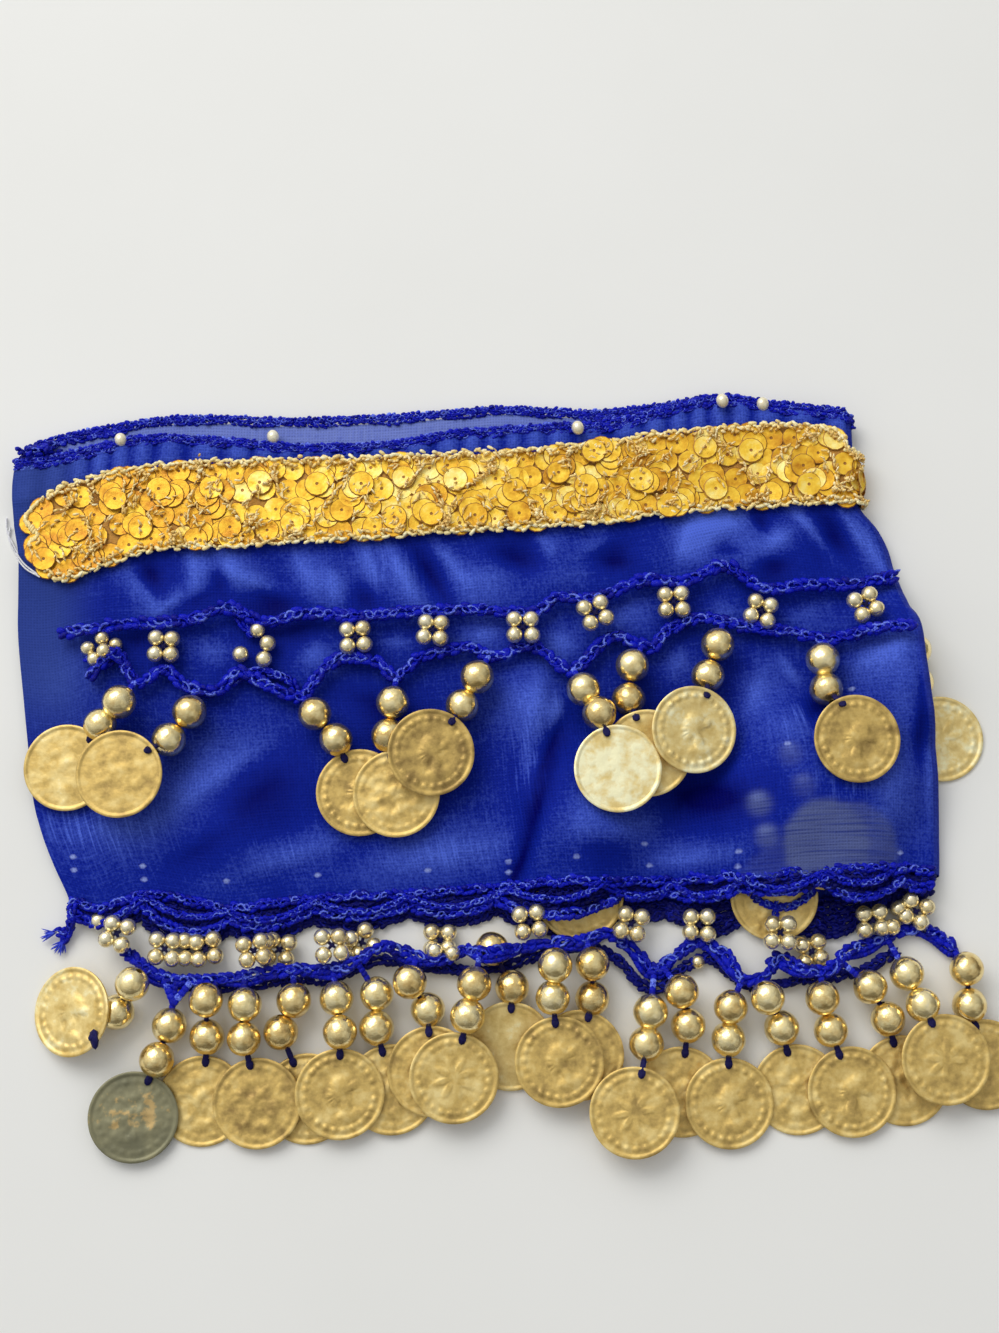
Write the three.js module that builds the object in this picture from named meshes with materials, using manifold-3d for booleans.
// A dog's coin hip scarf laid flat: a strip of chiffon folded in half at the right, with a sequin
// band at the waist, a crocheted row and hem, and gold beads and coins hanging from both.
// Millimetres. +X runs along the waist, +Y towards the waist, +Z up from the table at z = 0.
import * as THREE from 'three';
import { mergeVertices } from 'three/addons/utils/BufferGeometryUtils.js';
import Module from 'manifold-3d';

const wasm = await Module();
wasm.setup();
const { smoothstep, degToRad } = THREE.MathUtils;

// Driving sizes.
const CLOTH = 1; // wall of the chiffon
const SEAM = 0.3; // clearance between pieces that are sewn together
const FOLD_SEAM = 0.7; // the same, where the flat halves meet the turn
const LAY = 0.4; // clearance between a piece and what it lies on
const FOLD_RADIUS = 2.5; // outside of the turn at the right
const BAND_WALL = 1.2;
const RIM_WIDTH = 2.2;
const HEM_WIDTH = 1.8; // crocheted hem between its scallops
const EDGE_WALL = 1.4; // crocheted rims and hems
const CHAIN_RADIUS = 1.2;
const CHAIN_EASE = 0.2; // room for the chain between the places where it is laid
const BEAD_RADIUS = 4;
const SMALL_BEAD_RADIUS = 2.3;
const SMALL_BEAD_PITCH = 3.8; // the four beads of a cluster touch
const THREAD_RADIUS = 0.7;
const COIN_RADIUS = 10;
const COIN_WALL = 0.8;
const COIN_HOLE_INSET = 1.4; // from the rim to the middle of the hole
const LEANING = 20; // a coin with more roll than this leans on its own bead
const PUFF = 2; // how far the two halves of the cloth stand apart
const BAND_REST = BAND_WALL + SEAM; // how far the hidden band lifts the back half
const LEAST_APART = EDGE_WALL - CLOTH + SEAM; // keeps the crocheted edges off each other
const BAND_LEAD = 2.5; // the cloth is already up at the band's height this far below it
const BAND_RAMP = 5.5; // length of the slope up to that height
const LUMP_SKIRT = 11; // how far a lump slopes away round what makes it
const LUMP_MARGIN = 1.5; // flat top beyond a coin's rim
const SLACK = { left: 14, band: 12, hem: 14, turn: 30 }; // from each edge to where the cloth puffs fully
const HEM_PUFF = 0.35; // share of the puff that is left at the hem
const BAND_ROWS = 0.25; // share of a half's rows that lies over the band

// The outline of the cloth, read along y at the sides and along x at the waist and hem.
const LEFT_EDGE = [
  { y: -36, x: -98 }, { y: -31, x: -99.5 }, { y: -23, x: -103.5 }, { y: -16, x: -106.5 },
  { y: -8, x: -109 }, { y: 5, x: -111 }, { y: 15, x: -112.5 }, { y: 33, x: -115 },
  { y: 50, x: -115.5 }, { y: 58, x: -117 }, { y: 68, x: -118 }, { y: 78, x: -117 },
];
const RIGHT_EDGE = [
  { y: -32, x: 99 }, { y: -26, x: 100.5 }, { y: -12, x: 101 }, { y: 5, x: 100.5 }, { y: 15, x: 99 },
  { y: 24, x: 98 }, { y: 32, x: 97.5 }, { y: 38, x: 95.5 }, { y: 46, x: 93.5 }, { y: 52, x: 92 },
  { y: 57, x: 89.5 }, { y: 62, x: 86.5 }, { y: 70, x: 86 }, { y: 86, x: 86 },
];
const FRONT_WAIST = [
  { x: -117, y: 73 }, { x: -109, y: 74 }, { x: -88, y: 79 }, { x: -68, y: 78.5 }, { x: -50, y: 77 },
  { x: -29, y: 77.5 }, { x: -10, y: 80.5 }, { x: 10, y: 82 }, { x: 26, y: 83 }, { x: 37, y: 86 },
  { x: 53, y: 89.5 }, { x: 67, y: 87.5 }, { x: 86, y: 84.5 },
];
const BACK_WAIST = [
  { x: -117, y: 77.5 }, { x: -106, y: 80 }, { x: -79, y: 84.5 }, { x: -52, y: 84 }, { x: -25, y: 85 },
  { x: 0, y: 87 }, { x: 21, y: 86 }, { x: 37, y: 87.5 }, { x: 53, y: 90 }, { x: 67, y: 88 },
  { x: 86, y: 85 },
];
const FRONT_HEM = [
  { x: -100, y: -31 }, { x: -92, y: -33 }, { x: -82, y: -30 }, { x: -63, y: -33 }, { x: -44, y: -31 },
  { x: -22, y: -30 }, { x: 0, y: -28.5 }, { x: 37, y: -27 }, { x: 55, y: -26.5 }, { x: 75, y: -25 },
  { x: 92, y: -24.5 }, { x: 101, y: -25 },
];
const BACK_HEM = [
  { x: -100, y: -31 }, { x: -82, y: -32.5 }, { x: -63, y: -35 }, { x: -44, y: -33 }, { x: -22, y: -31.5 },
  { x: 0, y: -30.5 }, { x: 37, y: -31.5 }, { x: 55, y: -31 }, { x: 75, y: -30 }, { x: 92, y: -26.5 },
  { x: 101, y: -25.5 },
];
const BAND_TOP = [
  { x: -114, y: 63 }, { x: -103, y: 68.5 }, { x: -92, y: 71.5 }, { x: -78, y: 73.5 }, { x: -44, y: 74.5 },
  { x: 0, y: 76.5 }, { x: 15, y: 77.5 }, { x: 43, y: 81.5 }, { x: 62, y: 83 }, { x: 74, y: 82.7 },
  { x: 79, y: 81.2 }, { x: 83, y: 78.6 }, { x: 87, y: 75.2 },
];
const BAND_BOTTOM = [
  { x: -114, y: 49 }, { x: -105, y: 43.5 }, { x: -98, y: 46 }, { x: -89, y: 49.5 }, { x: -80, y: 51.5 },
  { x: -63, y: 52 }, { x: -44, y: 53.5 }, { x: 0, y: 56.5 }, { x: 22, y: 58 }, { x: 50, y: 61.5 },
  { x: 87, y: 62.5 },
];

// Creases of the front half: long soft ridges, or troughs where the height is negative.
// turn is the angle of the crease from +X, anticlockwise.
const CREASES = [
  { x: -98, y: 38, length: 20, width: 9, turn: -55, height: 1.2 },
  { x: -86, y: 44, length: 12, width: 7, turn: -60, height: 1.6 },
  { x: -72, y: 43, length: 14, width: 8, turn: -65, height: 1.8 },
  { x: -55, y: 42, length: 10, width: 8, turn: -90, height: -1.4 },
  { x: -44, y: 45, length: 14, width: 7, turn: -50, height: 1.8 },
  { x: -27, y: 46, length: 16, width: 7, turn: -75, height: 2 },
  { x: -16, y: 47, length: 10, width: 7, turn: -80, height: -1.2 },
  { x: -6, y: 47, length: 14, width: 8, turn: -70, height: 1.6 },
  { x: 12, y: 50, length: 12, width: 7, turn: -75, height: 1.5 },
  { x: 34, y: 53, length: 15, width: 9, turn: -60, height: 1.8 },
  { x: 52, y: 54, length: 14, width: 7, turn: -70, height: 1.6 },
  { x: 70, y: 52, length: 18, width: 9, turn: -55, height: 2 },
  { x: 7, y: 10, length: 30, width: 12, turn: -85, height: 3 },
  { x: 10, y: -13, length: 26, width: 7, turn: -100, height: -1.6 },
  { x: -60, y: -14, length: 34, width: 14, turn: 35, height: 2 },
  { x: -62, y: 2, length: 20, width: 10, turn: 20, height: -1.4 },
  { x: -18, y: -14, length: 30, width: 12, turn: 25, height: 1.6 },
  { x: 42, y: -14, length: 26, width: 12, turn: 10, height: -1.2 },
  { x: 88, y: 14, length: 24, width: 10, turn: 80, height: 1.4 },
];

// Chains, along the middle of the stitches.
const ROW_CHAIN = [
  { x: -105.5, y: 30.5 }, { x: -87, y: 33 }, { x: -73, y: 34 }, { x: -65.5, y: 37 }, { x: -56, y: 33.5 },
  { x: -47, y: 35.5 }, { x: -33, y: 35 }, { x: -19.5, y: 36 }, { x: -7, y: 36.5 }, { x: 7.5, y: 36 },
  { x: 13, y: 39.5 }, { x: 21, y: 39 }, { x: 32.5, y: 43.5 }, { x: 43, y: 43.5 }, { x: 52.5, y: 47 },
  { x: 61.5, y: 41.6 }, { x: 72.5, y: 42.4 }, { x: 83.5, y: 42.4 }, { x: 91, y: 43.5 },
];
const ROW_ZIGZAG = [
  { x: -96, y: 20.5 }, { x: -91, y: 26 }, { x: -85, y: 19 }, { x: -79, y: 22 }, { x: -73, y: 17.5 },
  { x: -65.5, y: 17.5 }, { x: -62, y: 21.5 }, { x: -53.5, y: 17.5 }, { x: -47, y: 15.5 }, { x: -42, y: 22 },
  { x: -37, y: 25 }, { x: -29, y: 23.5 }, { x: -25, y: 20 }, { x: -20, y: 24.5 }, { x: -8.5, y: 27.5 },
  { x: -2.5, y: 25 }, { x: 6.5, y: 27.5 }, { x: 16, y: 22 }, { x: 25.5, y: 30 }, { x: 35, y: 27.5 },
  { x: 38, y: 31 }, { x: 47, y: 34.5 }, { x: 56.5, y: 32.5 }, { x: 68.5, y: 31 }, { x: 75.5, y: 29 },
  { x: 84, y: 29.8 }, { x: 94.5, y: 30.2 },
];
const HEM_CHAIN = [
  { x: -85.5, y: -43 }, { x: -77.5, y: -48.5 }, { x: -67.5, y: -49.5 }, { x: -50, y: -47.5 },
  { x: -36, y: -46.5 }, { x: -26.5, y: -42 }, { x: -21.5, y: -43.5 }, { x: -14, y: -45 }, { x: -9, y: -42 },
  { x: -4.5, y: -46 }, { x: 0.5, y: -43.5 }, { x: 8, y: -42 }, { x: 18, y: -40.5 }, { x: 24, y: -39 },
  { x: 30.5, y: -43.5 }, { x: 34.5, y: -47 }, { x: 39.5, y: -43.5 }, { x: 45.5, y: -41 }, { x: 50, y: -43.5 },
  { x: 54, y: -49.5 }, { x: 59, y: -48.5 }, { x: 62.5, y: -44.5 }, { x: 67, y: -47 }, { x: 73, y: -47.5 },
  { x: 77.5, y: -43.5 }, { x: 83.5, y: -41 }, { x: 92, y: -38 }, { x: 99, y: -39 }, { x: 103, y: -43 },
];
const BACK_HEM_CHAIN = [
  { x: -81, y: -47 }, { x: -72, y: -50.5 }, { x: -62, y: -51 }, { x: -50, y: -49.5 }, { x: -38, y: -48.5 },
  { x: -28, y: -45 }, { x: -16, y: -46.5 }, { x: -3, y: -47 }, { x: 9, y: -43.5 }, { x: 20, y: -42 },
  { x: 26, y: -44.5 }, { x: 31, y: -50 }, { x: 35.5, y: -51 }, { x: 41, y: -46.5 }, { x: 47, y: -44.5 },
  { x: 56, y: -50.5 }, { x: 66, y: -49.5 }, { x: 75, y: -48.5 }, { x: 83, y: -46.5 }, { x: 90, y: -42.5 },
];

const TAIL = [{ x: -98.5, y: -35 }, { x: -99.5, y: -38.5 }, { x: -101.5, y: -42 }];
const TAIL_FORK = [{ x: -99.5, y: -38.5 }, { x: -103.5, y: -38 }];

// Clusters of four small beads, and the chain that each is tied to.
const ROW_CLUSTERS = [
  { x: -94.5, y: 27.5, turn: 25 }, { x: -79.5, y: 27.5, turn: 0 }, { x: -58, y: 27.5, turn: 30 },
  { x: -34.5, y: 29.5, turn: 4 }, { x: -16.5, y: 31, turn: -3 }, { x: 4.5, y: 31.5, turn: 0 },
  { x: 21.5, y: 35, turn: 20 }, { x: 40, y: 38, turn: 3 }, { x: 60.7, y: 36, turn: -15 },
  { x: 84, y: 36, turn: 25 },
];
const HEM_CLUSTERS = [
  { x: -87.5, y: -39, turn: -20 }, { x: -76.5, y: -42.5, turn: -5 }, { x: -56, y: -43, turn: 15 },
  { x: -38.5, y: -42, turn: 5 }, { x: -14.5, y: -40.5, turn: 0 }, { x: 6, y: -36.5, turn: 8 },
  { x: 29, y: -37, turn: -12 }, { x: 44.5, y: -37, turn: -3 }, { x: 62.5, y: -39, turn: -2 },
  { x: 84, y: -36, turn: 5 }, { x: 94, y: -34, turn: -25 },
];
const BACK_HEM_CLUSTERS = [
  { x: -67.5, y: -42.5, turn: 10 }, { x: -51, y: -42.5, turn: -10 }, { x: -32, y: -41, turn: 30 },
  { x: 70, y: -43, turn: 12 },
];

// Scallops of the crocheted hem: where each starts and ends along the hem, and how deep it hangs.
const SCALLOPS = [
  { from: -99, to: -82.5, depth: 3.5 }, { from: -82.5, to: -63, depth: 7 }, { from: -63, to: -43.5, depth: 5 },
  { from: -43.5, to: -21.5, depth: 4.5 }, { from: -21.5, to: -1, depth: 5 }, { from: -1, to: 9, depth: 4 },
  { from: 9, to: 27, depth: 6.5 }, { from: 27, to: 37, depth: 3.5 }, { from: 37, to: 54, depth: 4 },
  { from: 54, to: 72, depth: 4 }, { from: 72, to: 90, depth: 6.5 }, { from: 90, to: 99, depth: 4 },
];

// Coin drops: the two beads, the coin, its tilt (pitch lifts the top edge, roll the right edge)
// and its layer in the heap, counted up from what they all lie on.
const ROW_DROPS = [
  { bead: [-88.5, 13.5], next: [-93, 8.5], coin: [-101, -1], pitch: 5, roll: 3, layer: 0 },
  { bead: [-72.5, 11.5], next: [-77, 5], coin: [-87.5, -3.5], pitch: 4, roll: 4, layer: 1 },
  { bead: [-43.5, 11], next: [-38.5, 5], coin: [-33, -7], pitch: 4, roll: -3, layer: 0 },
  { bead: [-25.5, 13.5], next: [-26.5, 6], coin: [-24.5, -7.5], pitch: 5, roll: 2, layer: 1 },
  { bead: [-6, 19.5], next: [-9.5, 13], coin: [-16.5, 1.5], pitch: 3, roll: -9, layer: 2 },
  { bead: [18.5, 16.5], next: [22, 10.5], coin: [26, -2.5], pitch: 3, roll: -2, layer: 1 },
  { bead: [30, 22.5], next: [29, 14.5], coin: [33, 1.5], pitch: 5, roll: 0, layer: 0 },
  { bead: [50, 27.5], next: [47.5, 20], coin: [43.5, 6.5], pitch: 5, roll: -12, layer: 2 },
  { bead: [74, 23.5], next: [74.5, 16.5], coin: [80.2, 4], pitch: 4, roll: -6, layer: 0 },
];
const INNER_DROPS = [
  { bead: [16.5, -10], next: [17, -17.5], coin: [17.5, -30.5], pitch: 4, roll: 0, layer: 0 },
  { bead: [58, -10.5], next: [59.5, -18], coin: [62, -30.5], pitch: 4, roll: 2, layer: 1 },
  { bead: [65.5, 1], next: [68, -6.5], coin: [73, -19.5], pitch: 3, roll: 0, layer: 2 },
  { bead: [79, -0.5], next: [79.5, -8], coin: [80, -20.5], pitch: 3, roll: 0, layer: 0 },
];
const SIDE_DROPS = [
  { bead: [96.5, 27], next: [97, 19.5], coin: [102.5, 6.5], pitch: 4, roll: -3, layer: 0 },
];
const HEM_DROPS = [
  { bead: [-83, -50.5], next: [-87, -56.5], coin: [-97, -56.5], pitch: 0, roll: 24, layer: 1 },
  { bead: [-75, -59.5], next: [-77.5, -67], coin: [-82.5, -79.5], pitch: 3, roll: -4, layer: 1 },
  { bead: [-66.5, -54], next: [-66.5, -62], coin: [-67.5, -76], pitch: 4, roll: 0, layer: 0 },
  { bead: [-58, -55], next: [-58, -62.5], coin: [-55, -76.5], pitch: 4, roll: 2, layer: 1 },
  { bead: [-47, -54], next: [-50, -61], coin: [-44, -75.5], pitch: 3, roll: 1, layer: 0 },
  { bead: [-37.5, -53.5], next: [-36.5, -61], coin: [-36.5, -74.5], pitch: 4, roll: -3, layer: 1 },
  { bead: [-28.5, -52.5], next: [-28.5, -60], coin: [-25, -73.5], pitch: 4, roll: -2, layer: 0 },
  { bead: [-21, -50], next: [-17, -56], coin: [-16, -69.5], pitch: 5, roll: 2, layer: 1 },
  { bead: [-6.5, -50.5], next: [-8, -57.5], coin: [-11, -71], pitch: 4, roll: -3, layer: 2 },
  { bead: [-2.5, -41.5], next: [2, -51], coin: [1.5, -64], pitch: 12, roll: 3, layer: 0 },
  { bead: [11.5, -46.5], next: [11, -53.5], coin: [12.5, -67.5], pitch: 4, roll: 0, layer: 2 },
  { bead: [20, -46], next: [20, -53.5], coin: [17, -66], pitch: 4, roll: -2, layer: 1 },
  { bead: [33, -56.5], next: [32, -63.5], coin: [29, -78.5], pitch: 3, roll: 2, layer: 2 },
  { bead: [40, -52], next: [41.5, -59.5], coin: [40, -74], pitch: 4, roll: 0, layer: 0 },
  { bead: [51, -55.5], next: [50.5, -62.5], coin: [50.5, -76.5], pitch: 3, roll: -2, layer: 1 },
  { bead: [59, -53.5], next: [62.5, -60], coin: [66, -73.5], pitch: 4, roll: 2, layer: 0 },
  { bead: [71.5, -53.5], next: [73.5, -60.5], coin: [78, -74], pitch: 4, roll: -1, layer: 1 },
  { bead: [82.5, -51], next: [86.5, -58], coin: [90, -71.5], pitch: 4, roll: 1, layer: 0 },
  { bead: [91, -48], next: [94, -55], coin: [98.5, -67], pitch: 4, roll: -2, layer: 1 },
  { bead: [104.5, -47], next: [105, -55], coin: [108, -68], pitch: 5, roll: 0, layer: 0 },
];

const MATERIALS = {
  cloth: new THREE.MeshStandardMaterial({ color: 0x24369f, roughness: 0.6, metalness: 0 }),
  crochet: new THREE.MeshStandardMaterial({ color: 0x1414a8, roughness: 0.55, metalness: 0 }),
  sequin: new THREE.MeshStandardMaterial({ color: 0xe9b93c, roughness: 0.25, metalness: 0.8 }),
  gold: new THREE.MeshStandardMaterial({ color: 0xdcb964, roughness: 0.3, metalness: 0.9 }),
};

const garment = new THREE.Group();

function add(name, geometry, material, position = [0, 0, 0]) {
  const piece = new THREE.Mesh(geometry, MATERIALS[material]);
  piece.name = name;
  piece.position.set(...position);
  garment.add(piece);
  return piece;
}

// Shape helpers.

function between(start, end, share) {
  return start + (end - start) * share;
}

// One column of a table as a smooth function of another.
function through(rows, from, to) {
  const last = rows.length - 1;
  const slope = (i) => {
    const a = rows[Math.max(i - 1, 0)];
    const b = rows[Math.min(i + 1, last)];
    return (b[to] - a[to]) / (b[from] - a[from]);
  };
  return (at) => {
    const place = Math.min(Math.max(at, rows[0][from]), rows[last][from]);
    const found = rows.findIndex((row) => row[from] > place);
    const i = found < 0 ? last - 1 : found - 1;
    const span = rows[i + 1][from] - rows[i][from];
    const t = (place - rows[i][from]) / span;
    return rows[i][to] * (1 + 2 * t) * (1 - t) ** 2 + slope(i) * span * t * (1 - t) ** 2
      + rows[i + 1][to] * t * t * (3 - 2 * t) - slope(i + 1) * span * t * t * (1 - t);
  };
}

const leftEdge = through(LEFT_EDGE, 'y', 'x');
const rightEdge = through(RIGHT_EDGE, 'y', 'x');
const frontRim = through(FRONT_WAIST, 'x', 'y');
const backRim = through(BACK_WAIST, 'x', 'y');
const frontHem = through(FRONT_HEM, 'x', 'y');
const backHem = through(BACK_HEM, 'x', 'y');
const bandTop = through(BAND_TOP, 'x', 'y');
const bandBottom = through(BAND_BOTTOM, 'x', 'y');
const frontWaist = (x) => frontRim(x) - RIM_WIDTH - SEAM;
const backWaist = (x) => backRim(x) - RIM_WIDTH - SEAM;
const turnStart = (y) => rightEdge(y) - FOLD_RADIUS; // where the flat halves end and the turn begins

// Heights of the cloth.

// Lumps that drops make in the cloth over them: a flat top and a soft skirt round it.
const sideLumps = [];
const innerLumps = [];

function lump({ disc, centre, radius, tilt }, restHeight) {
  const above = disc ? COIN_RADIUS * Math.sin(Math.hypot(tilt.x, tilt.y)) + COIN_WALL / 2 : radius;
  const height = centre.z + above + SEAM - restHeight(centre.x, centre.y);
  const top = disc ? COIN_RADIUS + LUMP_MARGIN : BEAD_RADIUS * 2;
  return { x: centre.x, y: centre.y, height, top, skirt: top + LUMP_SKIRT };
}

function lift(lumps, x, y) {
  const sum = lumps.reduce((total, { x: lumpX, y: lumpY, height, top, skirt }) => {
    const distance = Math.hypot(x - lumpX, y - lumpY);
    return total + (height * (1 - smoothstep(distance, top, skirt))) ** 4;
  }, 0);
  return sum ** 0.25;
}

function backUnder(x, y) {
  const raised = bandBottom(x) - BAND_LEAD;
  return BAND_REST * smoothstep(y, raised - BAND_RAMP, raised) + lift(sideLumps, x, y);
}

const table = () => 0;
const backTop = (x, y) => backUnder(x, y) + CLOTH;

function creaseHeight(x, y) {
  return CREASES.reduce((total, crease) => {
    const turn = degToRad(crease.turn);
    const along = (x - crease.x) * Math.cos(turn) + (y - crease.y) * Math.sin(turn);
    const aside = (y - crease.y) * Math.cos(turn) - (x - crease.x) * Math.sin(turn);
    return total + crease.height * Math.exp(-((along / crease.length) ** 2 + (aside / crease.width) ** 2) * 4);
  }, 0);
}

function frontUnder(x, y) {
  const inFromLeft = smoothstep(x - leftEdge(y), 0, SLACK.left);
  const belowBand = smoothstep(bandBottom(x) - y, -2, SLACK.band);
  const aboveHem = between(HEM_PUFF, 1, smoothstep(y - frontHem(x), 0, SLACK.hem));
  const towardsTurn = smoothstep(x, turnStart(y) - SLACK.turn, turnStart(y));
  const loose = inFromLeft * belowBand * aboveHem * (1 - towardsTurn);
  const open = 2 * (FOLD_RADIUS - CLOTH) * towardsTurn;
  const apart = Math.max(loose * (PUFF + creaseHeight(x, y)) + open, LEAST_APART);
  return backUnder(x, y) + CLOTH + Math.max(apart, lift(innerLumps, x, y));
}

function turnHeight(y) {
  return FOLD_RADIUS + backUnder(turnStart(y), y);
}

function scallopDepth(x) {
  const scallop = SCALLOPS.find((row) => x >= row.from && x <= row.to);
  if (!scallop) return HEM_WIDTH;
  const share = (x - scallop.from) / (scallop.to - scallop.from);
  return between(HEM_WIDTH, scallop.depth, Math.sin(Math.PI * share));
}

// A closed wall: a box whose corners are moved by place(across, down, up), each from 0 to 1.
function wall(columns, rows, place) {
  const geometry = new THREE.BoxGeometry(1, 1, 1, columns, rows, 1);
  const corners = geometry.attributes.position;
  for (let i = 0; i < corners.count; i += 1) {
    corners.setXYZ(i, ...place(corners.getX(i) + 0.5, 0.5 - corners.getY(i), corners.getZ(i) + 0.5));
  }
  geometry.computeVertexNormals();
  return geometry;
}

// A wall that lies on a height: spot(across, down) gives its plan.
function sheet(columns, rows, thickness, spot, under) {
  return wall(columns, rows, (across, down, up) => {
    const [x, y] = spot(across, down);
    return [x, y, under(x, y) + thickness * up];
  });
}

// A wall round the turn, from the front to the back; row(down) gives y.
function turn(columns, rows, inner, outer, row) {
  return wall(columns, rows, (across, down, up) => {
    const y = row(down);
    const angle = between(Math.PI / 2, -Math.PI / 2, across);
    const radius = between(inner, outer, up);
    return [turnStart(y) + radius * Math.cos(angle), y, turnHeight(y) + radius * Math.sin(angle)];
  });
}

// y from the waist to the hem; one row of corners runs just under the band.
function clothRow(waist, bandLine, hem, down) {
  if (down < BAND_ROWS) return between(waist, bandLine, down / BAND_ROWS);
  return between(bandLine, hem, (down - BAND_ROWS) / (1 - BAND_ROWS));
}

function half(waist, hem) {
  return (across, down) => {
    const top = waist(between(leftEdge(75), turnStart(84), across));
    const bandLine = bandBottom(between(leftEdge(46), turnStart(60), across)) - BAND_LEAD;
    const bottom = hem(between(leftEdge(-32), turnStart(-26), across));
    const y = clothRow(top, bandLine, bottom, down);
    return [between(leftEdge(y), turnStart(y) - FOLD_SEAM, across), y];
  };
}

function strip(from, to, top, bottom) {
  return (across, down) => {
    const x = between(from, to, across);
    return [x, between(top(x), bottom(x), down)];
  };
}

// What lies on the cloth or the table: each ball or disc rises until it clears what is there.

const pile = [];
const sheets = [];
const fromAbove = new THREE.Raycaster();
const above = new THREE.Vector3();
const down = new THREE.Vector3(0, 0, -1);

// The top of the cloth added so far, or the table.
function ground(x, y) {
  fromAbove.set(above.set(x, y, 100), down);
  const hit = fromAbove.intersectObjects(sheets)[0];
  return hit ? hit.point.z : 0;
}

// The lowest height at which points of a piece, given as [x, y, z], clear the ground.
function restOn(points) {
  return Math.max(...points.map(([x, y, z]) => {
    const top = ground(x, y);
    return top + (top > 0 ? LAY : 0) - z;
  }));
}

function ballPoints(x, y, radius) {
  const points = [[x, y, -radius]];
  for (const share of [0.45, 0.7, 0.92]) {
    for (let step = 0; step < 12; step += 1) {
      const angle = (step / 6) * Math.PI;
      const reach = radius * share;
      const depth = Math.sqrt(radius ** 2 - reach ** 2);
      points.push([x + reach * Math.cos(angle), y + reach * Math.sin(angle), -depth]);
    }
  }
  return points;
}

// Distance from a point to a disc's surface.
function fromDisc(disc, point) {
  const offset = new THREE.Vector3(...point).sub(disc.centre);
  const up = offset.dot(disc.normal);
  const out = Math.sqrt(Math.max(offset.lengthSq() - up * up, 0));
  return Math.hypot(Math.max(out - disc.radius, 0), Math.max(Math.abs(up) - disc.half, 0));
}

function discPoints(disc) {
  const points = [];
  for (const share of [0, 0.35, 0.7, 1]) {
    for (let step = 0; step < 24; step += 1) {
      const angle = (step / 12) * Math.PI;
      const flat = new THREE.Vector3(Math.cos(angle), Math.sin(angle), 0).multiplyScalar(disc.radius * share);
      points.push(flat.applyEuler(disc.tilt).add(disc.centre).toArray());
    }
  }
  return points;
}

function tooClose(a, b) {
  if (a.disc && b.disc) {
    if (Math.hypot(a.centre.x - b.centre.x, a.centre.y - b.centre.y) > a.radius + b.radius) return false;
    const gap = a.half + SEAM;
    return discPoints(a).some((point) => fromDisc(b, point) < gap)
      || discPoints(b).some((point) => fromDisc(a, point) < gap);
  }
  if (a.disc) return fromDisc(a, b.centre.toArray()) < b.radius + SEAM;
  if (b.disc) return fromDisc(b, a.centre.toArray()) < a.radius + SEAM;
  return a.centre.distanceTo(b.centre) < a.radius + b.radius + SEAM;
}

function rise(piece, others) {
  while (others.some((other) => tooClose(piece, other))) piece.centre.z += 0.1;
  return piece;
}

function ball(x, y, radius, others) {
  return rise({ radius, centre: new THREE.Vector3(x, y, restOn(ballPoints(x, y, radius))) }, others);
}

// A coin that overlaps one already there lies on it, never under it.
function covers(a, b) {
  return Math.hypot(a.centre.x - b.centre.x, a.centre.y - b.centre.y) < a.radius + b.radius - COIN_WALL;
}

function coin([x, y], pitch, roll, others) {
  const tilt = new THREE.Euler(degToRad(pitch), -degToRad(roll), 0);
  const normal = new THREE.Vector3(0, 0, 1).applyEuler(tilt);
  const piece = { disc: true, radius: COIN_RADIUS, half: COIN_WALL / 2, tilt, normal };
  piece.centre = new THREE.Vector3(x, y, 0);
  piece.centre.z = restOn(discPoints(piece)) + COIN_WALL / 2;
  for (const under of others.filter((other) => other.disc && covers(piece, other))) {
    piece.centre.z = Math.max(piece.centre.z, under.centre.z);
  }
  return rise(piece, others);
}

// Solids, joined with each other as closed bodies.

function solid(geometry) {
  const bare = geometry.clone();
  bare.deleteAttribute('normal');
  bare.deleteAttribute('uv');
  const merged = mergeVertices(bare, 1e-4);
  const vertProperties = new Float32Array(merged.attributes.position.array);
  const triVerts = new Uint32Array(merged.index.array);
  return new wasm.Manifold(new wasm.Mesh({ numProp: 3, vertProperties, triVerts }));
}

function joined(geometries) {
  const whole = geometries.map(solid).reduce((sum, next) => sum.add(next));
  const mesh = whole.getMesh();
  const geometry = new THREE.BufferGeometry();
  geometry.setAttribute('position', new THREE.BufferAttribute(new Float32Array(mesh.vertProperties), 3));
  geometry.setIndex(Array.from(mesh.triVerts));
  geometry.computeVertexNormals();
  return geometry;
}

function bead(centre, radius, around, rings) {
  return new THREE.SphereGeometry(radius, around, rings).rotateX(Math.PI / 2).translate(...centre.toArray());
}

// A straight thread between two points.
function thread(start, end, radius = THREAD_RADIUS) {
  const line = new THREE.LineCurve3(start, end);
  return new THREE.ExtrudeGeometry(ring(radius, 3), { steps: 1, bevelEnabled: false, extrudePath: line });
}

function ring(radius, sides) {
  const corners = Array.from({ length: sides }, (_, i) => {
    const angle = ((i + 0.5) / sides) * 2 * Math.PI;
    return new THREE.Vector2(radius * Math.cos(angle), radius * Math.sin(angle));
  });
  return new THREE.Shape(corners);
}

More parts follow.
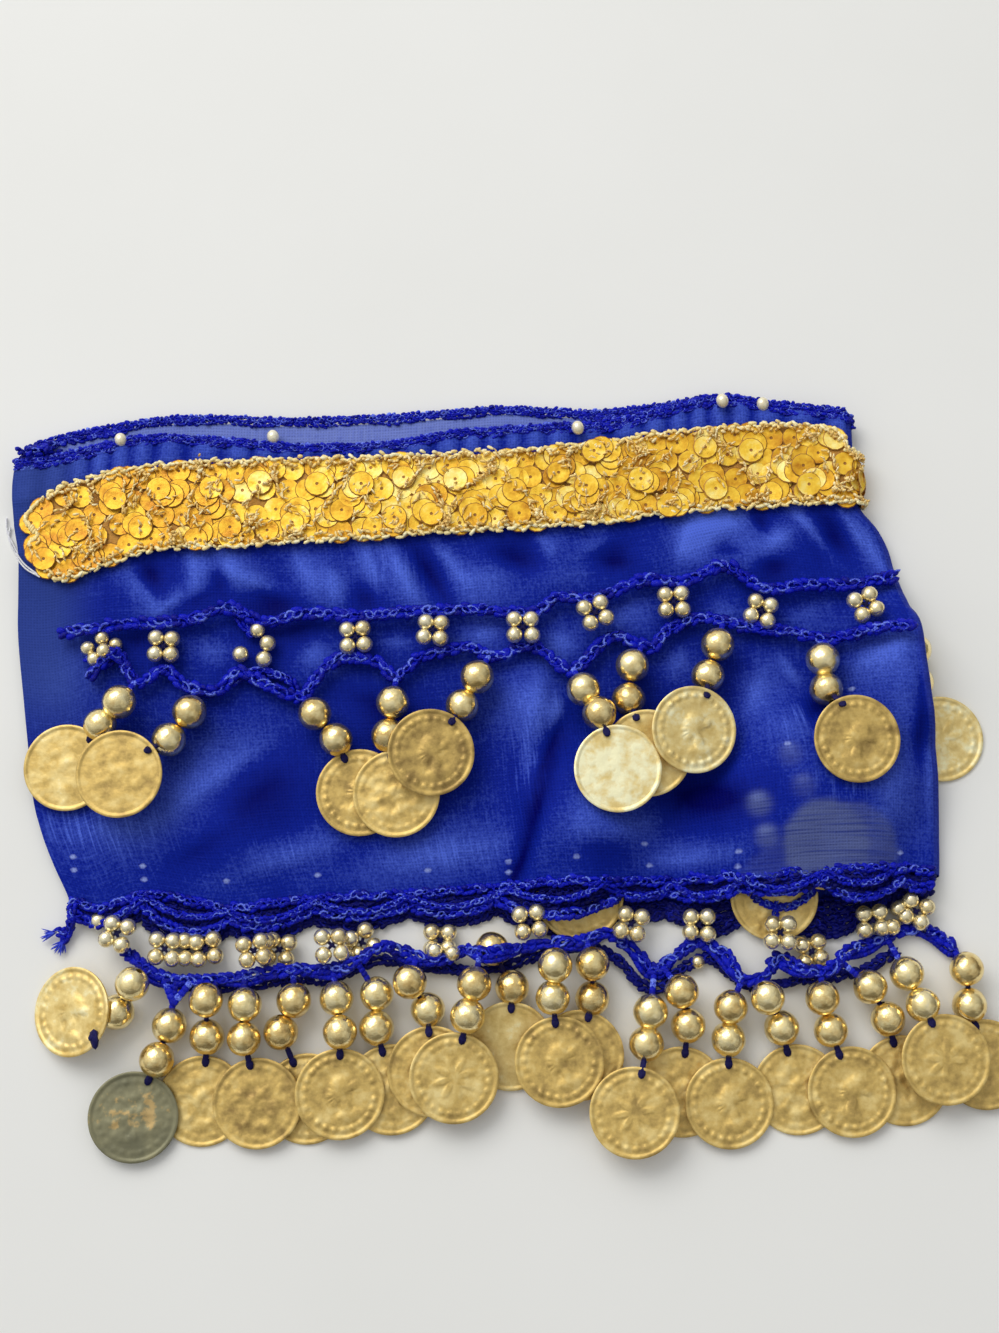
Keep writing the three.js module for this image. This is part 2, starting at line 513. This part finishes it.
// A crocheted chain: its route lies on what is there, and its balls join the pile.
function chain(rows, steps, below = [...pile]) {
  const plan = new THREE.CatmullRomCurve3(rows.map(({ x, y }) => new THREE.Vector3(x, y, 0)), false, 'centripetal');
  const stops = plan.getSpacedPoints(steps * 2);
  const laid = stops.map(({ x, y }) => ball(x, y, CHAIN_RADIUS + CHAIN_EASE, below));
  const eased = laid.map((piece, i) => {
    const near = laid.slice(Math.max(i - 1, 0), i + 2).map((other) => other.centre.z);
    return new THREE.Vector3(piece.centre.x, piece.centre.y, Math.max(...near));
  });
  eased.forEach((centre) => pile.push({ radius: CHAIN_RADIUS + CHAIN_EASE, centre }));
  const route = new THREE.CatmullRomCurve3(eased, false, 'centripetal');
  const settings = { steps, bevelEnabled: false, extrudePath: route };
  return { stops: eased, geometry: new THREE.ExtrudeGeometry(ring(CHAIN_RADIUS, 5), settings) };
}

// Four small beads in a square, tied to the nearest stitch of their chain.
function cluster({ x, y, turn: degrees }, stops) {
  const angle = degToRad(degrees);
  const corners = [[-1, 1], [1, 1], [-1, -1], [1, -1]].map(([a, b]) => {
    const spot = new THREE.Vector2(a, b).multiplyScalar(SMALL_BEAD_PITCH / 2);
    spot.rotateAround(new THREE.Vector2(), angle);
    return [x + spot.x, y + spot.y];
  });
  const own = new Set(stops);
  const others = pile.filter((piece) => !own.has(piece.centre));
  const height = Math.max(...corners.map(([bx, by]) => ball(bx, by, SMALL_BEAD_RADIUS, others).centre.z));
  const centres = corners.map(([bx, by]) => new THREE.Vector3(bx, by, height));
  centres.forEach((centre) => pile.push({ radius: SMALL_BEAD_RADIUS, centre }));
  const stitch = nearest(new THREE.Vector3(x, y, height), stops);
  const tied = nearest(stitch, centres);
  const past = stitch.clone().sub(tied).setLength(THREAD_RADIUS).add(stitch);
  const small = new THREE.IcosahedronGeometry(SMALL_BEAD_RADIUS, 0).rotateZ(angle);
  return [...centres.map((centre) => small.clone().translate(...centre.toArray())), thread(tied, past)];
}

function mesh(name, rows, steps, clusters) {
  const { stops, geometry } = chain(rows, steps);
  add(name, joined([geometry, ...clusters.flatMap((row) => cluster(row, stops))]), 'crochet');
  return stops;
}

function nearest(point, stops) {
  return stops.reduce((best, stop) => (stop.distanceTo(point) < best.distanceTo(point) ? stop : best));
}

// The thread from a drop's first bead towards its stitch, as far as the first thing in the way.
function hanger(start, stitch, others) {
  const way = stitch.clone().sub(start).normalize();
  const end = start.clone();
  while (!others.some((other) => tooClose({ radius: THREAD_RADIUS, centre: end }, other))) {
    end.addScaledVector(way, 0.2);
  }
  return end;
}

function dropShape({ beads, disc }, end) {
  const towardsBead = beads[1].centre.clone().sub(disc.centre);
  towardsBead.addScaledVector(disc.normal, -towardsBead.dot(disc.normal)).setLength(COIN_RADIUS - COIN_HOLE_INSET);
  const hole = disc.centre.clone().add(towardsBead);
  const plate = new THREE.CylinderGeometry(COIN_RADIUS, COIN_RADIUS, COIN_WALL, 16).rotateX(Math.PI / 2);
  plate.applyQuaternion(new THREE.Quaternion().setFromEuler(disc.tilt)).translate(...disc.centre.toArray());
  const balls = beads.map(({ centre }) => bead(centre, BEAD_RADIUS, 8, 4));
  const threads = [thread(beads[0].centre, beads[1].centre), thread(beads[1].centre, hole)];
  if (end && end.distanceTo(beads[0].centre) > BEAD_RADIUS + SEAM) threads.push(thread(beads[0].centre, end));
  return joined([...balls, ...threads, plate]);
}

// Lays drops in the order of their layers, adds them, and returns their settled pieces.
function drops(prefix, rows, stops) {
  const order = rows.map((row, i) => ({ ...row, number: i + 1 })).sort((a, b) => a.layer - b.layer);
  return order.flatMap((row) => {
    const below = [...pile];
    const beads = [row.bead, row.next].map(([x, y]) => ball(x, y, BEAD_RADIUS, below));
    const leaning = row.roll > LEANING ? [...below, beads[1]] : below;
    const disc = coin(row.coin, row.pitch, row.roll, leaning);
    pile.push(...beads, disc);
    const origin = beads[0].centre;
    const end = stops && hanger(origin, nearest(origin, stops), below);
    const geometry = dropShape({ beads, disc }, end).translate(-origin.x, -origin.y, -origin.z);
    add(`${prefix}_${String(row.number).padStart(2, '0')}`, geometry, 'gold', origin.toArray());
    return [...beads, disc];
  });
}

// The heap from the table up: what is under the back half, between the halves, and on top.

function addSheet(name, geometry, material) {
  sheets.push(add(name, geometry, material));
}

const hemSpot = (hem) => strip(-98.5, 98, (x) => hem(x) - SEAM, (x) => hem(x) - SEAM - scallopDepth(x));
const rimSpot = (rim) => strip(-115.5, turnStart(84) - FOLD_SEAM, rim, (x) => rim(x) - RIM_WIDTH);
const bandSpot = (start) => strip(start, turnStart(70) - SEAM, bandTop, bandBottom);

sideLumps.push(...drops('side_drop', SIDE_DROPS).map((piece) => lump(piece, table)));
addSheet('band_back', sheet(10, 1, BAND_WALL, bandSpot(-109.5), table), 'sequin');
addSheet('back_panel', sheet(18, 12, CLOTH, half(backWaist, backHem), backUnder), 'cloth');
addSheet('rim_back', sheet(18, 1, EDGE_WALL, rimSpot(backRim), backUnder), 'crochet');
addSheet('hem_edge_back', sheet(44, 1, EDGE_WALL, hemSpot(backHem), backUnder), 'crochet');

innerLumps.push(...drops('inner_drop', INNER_DROPS).map((piece) => lump(piece, backTop)));
addSheet('front_panel', sheet(32, 16, CLOTH, half(frontWaist, frontHem), frontUnder), 'cloth');
addSheet('rim_front', sheet(28, 1, EDGE_WALL, rimSpot(frontRim), frontUnder), 'crochet');
addSheet('hem_edge_front', sheet(48, 1, EDGE_WALL, hemSpot(frontHem), frontUnder), 'crochet');
const onFront = (x, y) => frontUnder(x, y) + CLOTH + SEAM;
addSheet('band_front', sheet(28, 3, BAND_WALL, bandSpot(-113.5), onFront), 'sequin');

const waistEnd = backWaist(86);
const rimFoldRow = (down) => between(backRim(86), waistEnd + SEAM, down);
const foldRow = (down) => clothRow(waistEnd, bandBottom(87), frontHem(101), down);
const bandFoldRow = (down) => between(bandTop(87) - 1, bandBottom(87), down);
const bandInner = FOLD_RADIUS + SEAM;
addSheet('rim_fold', turn(6, 1, FOLD_RADIUS - CLOTH, FOLD_RADIUS, rimFoldRow), 'crochet');
addSheet('fold_edge', turn(6, 16, FOLD_RADIUS - CLOTH, FOLD_RADIUS, foldRow), 'cloth');
addSheet('band_fold', turn(6, 2, bandInner, bandInner + BAND_WALL, bandFoldRow), 'sequin');

add('row_chain', chain(ROW_CHAIN, 36).geometry, 'crochet');
const rowStops = mesh('row_mesh', ROW_ZIGZAG, 48, ROW_CLUSTERS);
mesh('hem_mesh_back', BACK_HEM_CHAIN, 36, BACK_HEM_CLUSTERS);
const hemStops = mesh('hem_mesh', HEM_CHAIN, 54, HEM_CLUSTERS);
const underTail = [...pile];
const tail = [chain(TAIL, 4, underTail), chain(TAIL_FORK, 3, underTail)];
add('tail', joined(tail.map(({ geometry }) => geometry)), 'crochet');
drops('row_drop', ROW_DROPS, rowStops);
drops('hem_drop', HEM_DROPS, hemStops);

export default garment;
